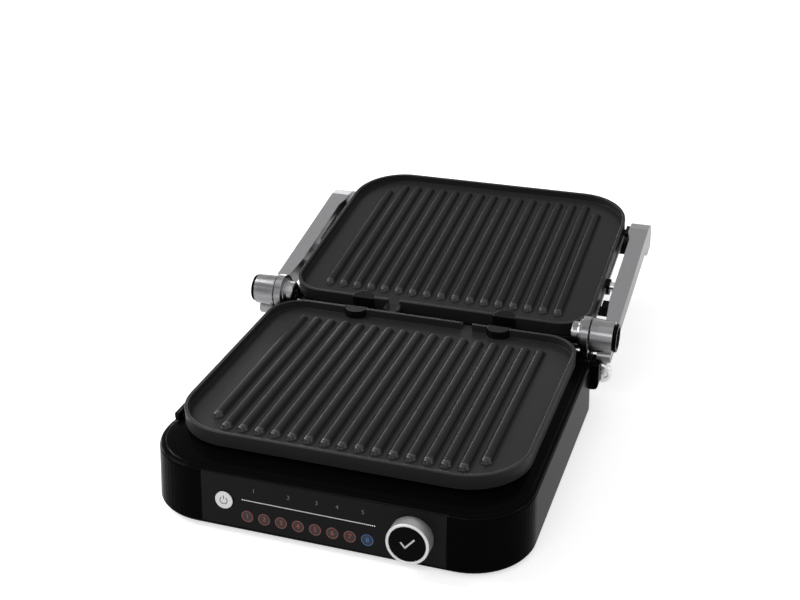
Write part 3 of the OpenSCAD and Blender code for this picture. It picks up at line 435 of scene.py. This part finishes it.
# ---- Selector knob ----
# A ring of spun metal, whose hollow shaft turns in a steel encoder set through the panel.
# A glossy black press face fills the ring, with a tick mark of two strokes printed on it in white, which
# also has a faint painted glow of its own.

knob_metal = metal("knob_metal", (0.45, 0.45, 0.46), (0.62, 0.62, 0.63), rough=(0.4, 0.52),
                   along=(500.0, 3000.0, 500.0))
dress(knob_metal, "selector_knob")
black_face = moulded("black_face", (0.003, 0.003, 0.003), rough=(0.12, 0.2), grain_depth=0.0,
                     Specular_IOR_Level=0.02)
dress(black_face, "confirm_button")
face_rise = 0.0135
tick_path = ((-0.0050, 0.0004), (-0.0016, -0.0034), (0.0056, 0.0048))
tick_half = 0.0007


def tick(bm):
    """Two straight strokes that meet at the foot of the mark."""
    y = -face_rise - print_rise
    strokes = []
    for a, b in zip(tick_path, tick_path[1:]):
        along = (Vector(b) - Vector(a)).normalized()
        side = Vector((-along.y, along.x)) * tick_half
        start = Vector(a) - along * tick_half
        end = Vector(b) + along * tick_half
        strokes.append((start - side, end - side, end + side, start + side))
    for corners in strokes:
        bm.faces.new([bm.verts.new((knob_middle.x + c.x, y, c.y)) for c in corners])


# The tick is white print with a faint painted glow, though the press face holds no lamp.
piece("confirm_mark", tick, "confirm_button",
      lit("mark_white_painted_glow", (0.6, 0.6, 0.6), 0.1), panel)
dress(steel, "knob_encoder")

# ---- Boards ----
# Two green circuit boards: one with the lamps behind the panel, and one on posts in the base.
# Each is one piece with its parts, which stand on it as plain blocks.

board = moulded("board_green", (0.012, 0.075, 0.03), rough=(0.35, 0.5), grain_depth=0.1)
dress(board, "control_board", "power_board")

# ---- Heating ----
# Under each plate a bright sheet pan throws up the heat of a dull steel rod, clipped over it.
# A brass sensor in the middle of the pan is pressed against the plate from below.

sheet = metal("bright_sheet", (0.6, 0.6, 0.61), (0.72, 0.72, 0.73), rough=(0.22, 0.36),
              along=(300.0, 1500.0, 300.0), depth=0.08)
dress(sheet, "lower_reflector", "upper_reflector")
rod = metal("heating_steel", (0.10, 0.10, 0.105), (0.17, 0.17, 0.175), rough=(0.4, 0.55),
            along=(900.0, 900.0, 900.0), depth=0.2)
dress(rod, "lower_heater", "upper_heater")
brass = metal("sensor_brass", (0.45, 0.36, 0.16), (0.58, 0.47, 0.22), rough=(0.3, 0.42),
              along=(900.0, 900.0, 300.0))
dress(brass, "lower_sensor", "upper_sensor")

# ---- Cooking plates ----
# Two die castings with round ridges and a dark non-stick coat, smoothest on the ridges.
# Each has a raised rim and a spout at its hinge side, and lifts off for washing.

coat = moulded("coated_casting", (0.022, 0.022, 0.0234), rough=(0.34, 0.46), grain_depth=0.45,
               grain_scale=1500.0, edge_radius=0.0009, edge_shine=0.25, Specular_IOR_Level=0.04,
               Coat_Weight=0.06, Coat_Roughness=0.14)
dress(coat, "lower_plate", "upper_plate")
ridge_count = 17
ridge_pitch = 0.015
ridge_reach = 0.1025
outer_short = 0.0143
ridge_height = 0.004
# Half width and height at each step up a ridge, from the foot of its fillet to its crest
ridge_profile = ((0.0062, 0.00006), (0.0056, 0.00018), (0.0050, 0.0005), (0.0045, 0.00105),
                 (0.0041, 0.0018), (0.0037, 0.0026), (0.0032, 0.00325), (0.0025, 0.0037),
                 (0.0016, 0.00395), (0.0007, 0.00405))
end_steps = 14
run_out = 0.0025
shine_from = 0.001


def ridges(bm, front_short, rear_short):
    """Cast ridges with filleted feet: rings of one plan shape, drawn in as they rise.

    The front ends are marked, because they catch more light. The two outer ridges stop short.
    """
    end = bm.verts.layers.float.new("ridge_end")
    turns = [math.pi + math.pi * k / end_steps for k in range(end_steps + 1)]
    outermost = ridge_count // 2
    for i in range(ridge_count):
        x = (i - outermost) * ridge_pitch
        outer_ridge = abs(i - outermost) == outermost
        front = -ridge_reach + (front_short if outer_ridge else 0.0)
        rear = ridge_reach - (rear_short if outer_ridge else 0.0)
        rings = []
        for radius, height in ridge_profile:
            shine = 1.0 if height > shine_from else 0.0
            rim = [(x + radius * math.cos(a), front + radius * math.sin(a), height, shine) for a in turns]
            rim += [(x + radius, y, height, 0.0) for y in (front + run_out, rear - run_out)]
            rim += [(x - radius * math.cos(a), rear - radius * math.sin(a), height, 0.0) for a in turns]
            rim += [(x - radius, y, height, 0.0) for y in (rear - run_out, front + run_out)]
            rings.append([bm.verts.new(point[:3]) for point in rim])
            for vert, point in zip(rings[-1], rim):
                vert[end] = point[3]
        for outer, inner in zip(rings, rings[1:]):
            for k in range(len(outer)):
                n = (k + 1) % len(outer)
                bm.faces.new((outer[k], outer[n], inner[n], inner[k]))
        crest = rings[-1]
        half_way = len(crest) // 2
        for k in range(end_steps // 2, end_steps // 2 + half_way):
            facing = end_steps - k
            bridge = [crest[k], crest[k + 1], crest[(facing - 1) % len(crest)], crest[facing % len(crest)]]
            bm.faces.new(dict.fromkeys(bridge))
    for face in bm.faces:
        face.smooth = True


cast = moulded("coated_ridges", (0.018, 0.018, 0.0193), rough=(0.26, 0.34), grain_depth=0.06,
               grain_scale=1500.0, edge_radius=0.0, Specular_IOR_Level=0.035)
ridge_end = cast.node_tree.nodes.new("ShaderNodeAttribute")
ridge_end.attribute_name = "ridge_end"
shine_on(cast, ridge_end.outputs["Fac"], plain=0.035, bright=0.32)

hinge_at = Vector(joint("lid_hinge")["pos_m"])
lid_out = Vector(joint("upper_plate_lift")["axis"])
lid_along = lid_out.cross(across)
hinge_to_plate = 0.14
lower_floor = 0.066
upper_crest_drop = 0.0037
lower_middle = Vector((0.0, hinge_at.y - hinge_to_plate, lower_floor))
upper_middle = hinge_at + lid_along * hinge_to_plate - lid_out * (upper_crest_drop + ridge_height)
piece("lower_ridges", lambda bm: ridges(bm, outer_short, 0.0), "lower_plate", cast,
      Matrix.Translation(lower_middle))
piece("upper_ridges", lambda bm: ridges(bm, 0.0, outer_short), "upper_plate", cast,
      turned_to(upper_middle, across, lid_along, lid_out))

# ---- Hooks and release buttons ----
# Satin black hooks hold each plate at its hinge side, and a latch bears on a lug at its side.
# The latch and its sprung release button are one moulding.

dress(satin_black, "lower_plate_hooks", "upper_plate_hooks", "lower_release_button",
      "upper_release_button")

# ---- Drip tray ----
# A shallow open tray in satin black plastic on the bottom cover, below the spouts of the plates.
# It slides out through the rear wall.

dress(satin_black, "drip_tray")

# ---- Hinge ----
# Glossy black covers hold silver brackets, on which turned barrels run about steel pins.
# The black caps and plugs close the ends, and the tab at the side is a polished release lever.

dress(gloss_black, "hinge_cover_right", "hinge_cover_left", "barrel_caps", "collar_plugs")
turned = metal("cast_silver_turned", (0.0, 0.0, 0.0), (0.40, 0.40, 0.41), rough=(0.2, 0.3),
               along=(25.0, 150.0, 150.0), depth=0.02)
dress(turned, "hinge_bracket_right", "hinge_bracket_left", "hinge_barrels")
dress(steel, "hinge_pins")
chrome = metal("chrome", (0.62, 0.62, 0.63), (0.72, 0.72, 0.73), rough=(0.08, 0.14),
               along=(500.0, 500.0, 500.0), depth=0.02)
dress(chrome, "release_lever")

# ---- Arms and handle ----
# Two brushed silver castings, with a satin black bar screwed between their ends as the handle.
# The lid tips on two steel pins in them, as far as small black stops let it.

silver = metal("cast_silver_brushed", (0.17, 0.17, 0.174), (0.29, 0.29, 0.298), rough=(0.3, 0.45),
               along=(1800.0, 60.0, 900.0))
dress(silver, "arm_right", "arm_left")
dress(steel, "arm_screws", "float_pins")
dress(satin_black, "handle_bar", "tilt_stops")
soften("handle_bar", 40)

# ---- Lid ----
# A satin black frame that carries the upper plate and hangs on the two pins of the arms.
# A cover of brushed metal closes it on the outside.

dress(satin_black, "lid_frame")
cover = metal("brushed_cover", (0.28, 0.28, 0.29), (0.40, 0.40, 0.41), rough=(0.28, 0.42),
              along=(60.0, 1800.0, 900.0))
dress(cover, "lid_cover")
soften("lid_cover", 25)

# ---- Stage ----
# A plain pale floor on a white background, in soft light from large lamps on all sides.
# The camera and reflections see the background brighter than the light that it casts.

floor_half = 6.0
floor_lift = 0.6
world_cast = 0.42
world_seen = 1.0


def either(tree, first, second):
    """A mask that is one where either of two masks is."""
    larger = tree.nodes.new("ShaderNodeMath")
    larger.operation = "MAXIMUM"
    tree.links.new(first, larger.inputs[0])
    tree.links.new(second, larger.inputs[1])
    return larger.outputs[0]


bm = bmesh.new()
bmesh.ops.create_grid(bm, x_segments=1, y_segments=1, size=floor_half)
floor_mesh = bpy.data.meshes.new("floor")
bm.to_mesh(floor_mesh)
bm.free()
floor = bpy.data.objects.new("floor", floor_mesh)
bpy.context.scene.collection.objects.link(floor)
pale = bpy.data.materials.new("pale_floor")
pale.use_nodes = True
tree = pale.node_tree
bsdf = tree.nodes["Principled BSDF"]
bsdf.inputs["Base Color"].default_value = (0.8, 0.8, 0.8, 1.0)
bsdf.inputs["Roughness"].default_value = 0.6
bsdf.inputs["Specular IOR Level"].default_value = 0.1
bsdf.inputs["Emission Color"].default_value = (1.0, 1.0, 1.0, 1.0)
ray = tree.nodes.new("ShaderNodeLightPath")
seen = either(tree, ray.outputs["Is Camera Ray"], ray.outputs["Is Glossy Ray"])
lift = tree.nodes.new("ShaderNodeMath")
lift.operation = "MULTIPLY"
lift.inputs[1].default_value = floor_lift
tree.links.new(seen, lift.inputs[0])
tree.links.new(lift.outputs[0], bsdf.inputs["Emission Strength"])
floor_mesh.materials.append(pale)

world = bpy.data.worlds.new("studio")
bpy.context.scene.world = world
world.use_nodes = True
tree = world.node_tree
background = tree.nodes["Background"]
background.inputs["Color"].default_value = (1.0, 1.0, 1.0, 1.0)
ray = tree.nodes.new("ShaderNodeLightPath")
seen = either(tree, ray.outputs["Is Camera Ray"], ray.outputs["Is Glossy Ray"])
seen = either(tree, seen, ray.outputs["Is Transmission Ray"])
level = tree.nodes.new("ShaderNodeMapRange")
level.inputs["To Min"].default_value = world_cast
level.inputs["To Max"].default_value = world_seen
tree.links.new(seen, level.inputs["Value"])
tree.links.new(level.outputs["Result"], background.inputs["Strength"])


def soft_light(name, place, target, size, power):
    """A large rectangular lamp that faces its target."""
    data = bpy.data.lights.new(name, "AREA")
    data.shape = "RECTANGLE"
    data.size, data.size_y = size
    data.energy = power
    light = bpy.data.objects.new(name, data)
    light.location = place
    light.rotation_euler = (Vector(target) - Vector(place)).to_track_quat("-Z", "Y").to_euler()
    bpy.context.scene.collection.objects.link(light)


soft_light("key", (-1.3, -0.1, 1.3), target=(0.0, 0.0, 0.0), size=(0.7, 0.7), power=16.0)
soft_light("side", (-1.35, 0.30, 0.30), target=(0.0, 0.0, 0.05), size=(0.6, 0.5), power=9.0)
soft_light("fill", (1.3, 0.0, 0.5), target=(0.0, 0.0, 0.05), size=(0.4, 0.4), power=2.0)
soft_light("behind", (-1.0, 1.75, 0.42), target=(0.0, 0.0, 0.05), size=(1.2, 0.3), power=8.0)
soft_light("front", (-0.2, -1.7, 1.5), target=(0.0, 0.0, 0.0), size=(1.0, 0.6), power=7.0)

# ---- Camera ----
# Where the photograph was taken from: 19 degrees to the right of the front and 26 degrees up.
# Its lens is 58 mm on a sensor 36 mm wide, given here as a focal length in the photograph's pixels.

azimuth = math.radians(18.9)
elevation = math.radians(26.4)
roll = math.radians(-0.7)
camera_at = (0.3418, -1.06478, 0.6534)
photo_width = 800.0
focal_pixels = 1297.9
sensor_width = 36.0
back = Vector((math.sin(azimuth) * math.cos(elevation), -math.cos(azimuth) * math.cos(elevation),
               math.sin(elevation)))
level_right = Vector((math.cos(azimuth), math.sin(azimuth), 0.0))
level_up = back.cross(level_right)
right = math.cos(roll) * level_right + math.sin(roll) * level_up
up = math.cos(roll) * level_up - math.sin(roll) * level_right
lens = bpy.data.cameras.new("camera")
lens.sensor_width = sensor_width
lens.lens = sensor_width * focal_pixels / photo_width
camera = bpy.data.objects.new("camera", lens)
camera.matrix_world = turned_to(camera_at, right, up, back)
bpy.context.scene.collection.objects.link(camera)
bpy.context.scene.camera = camera
bpy.context.scene.view_settings.view_transform = "Standard"
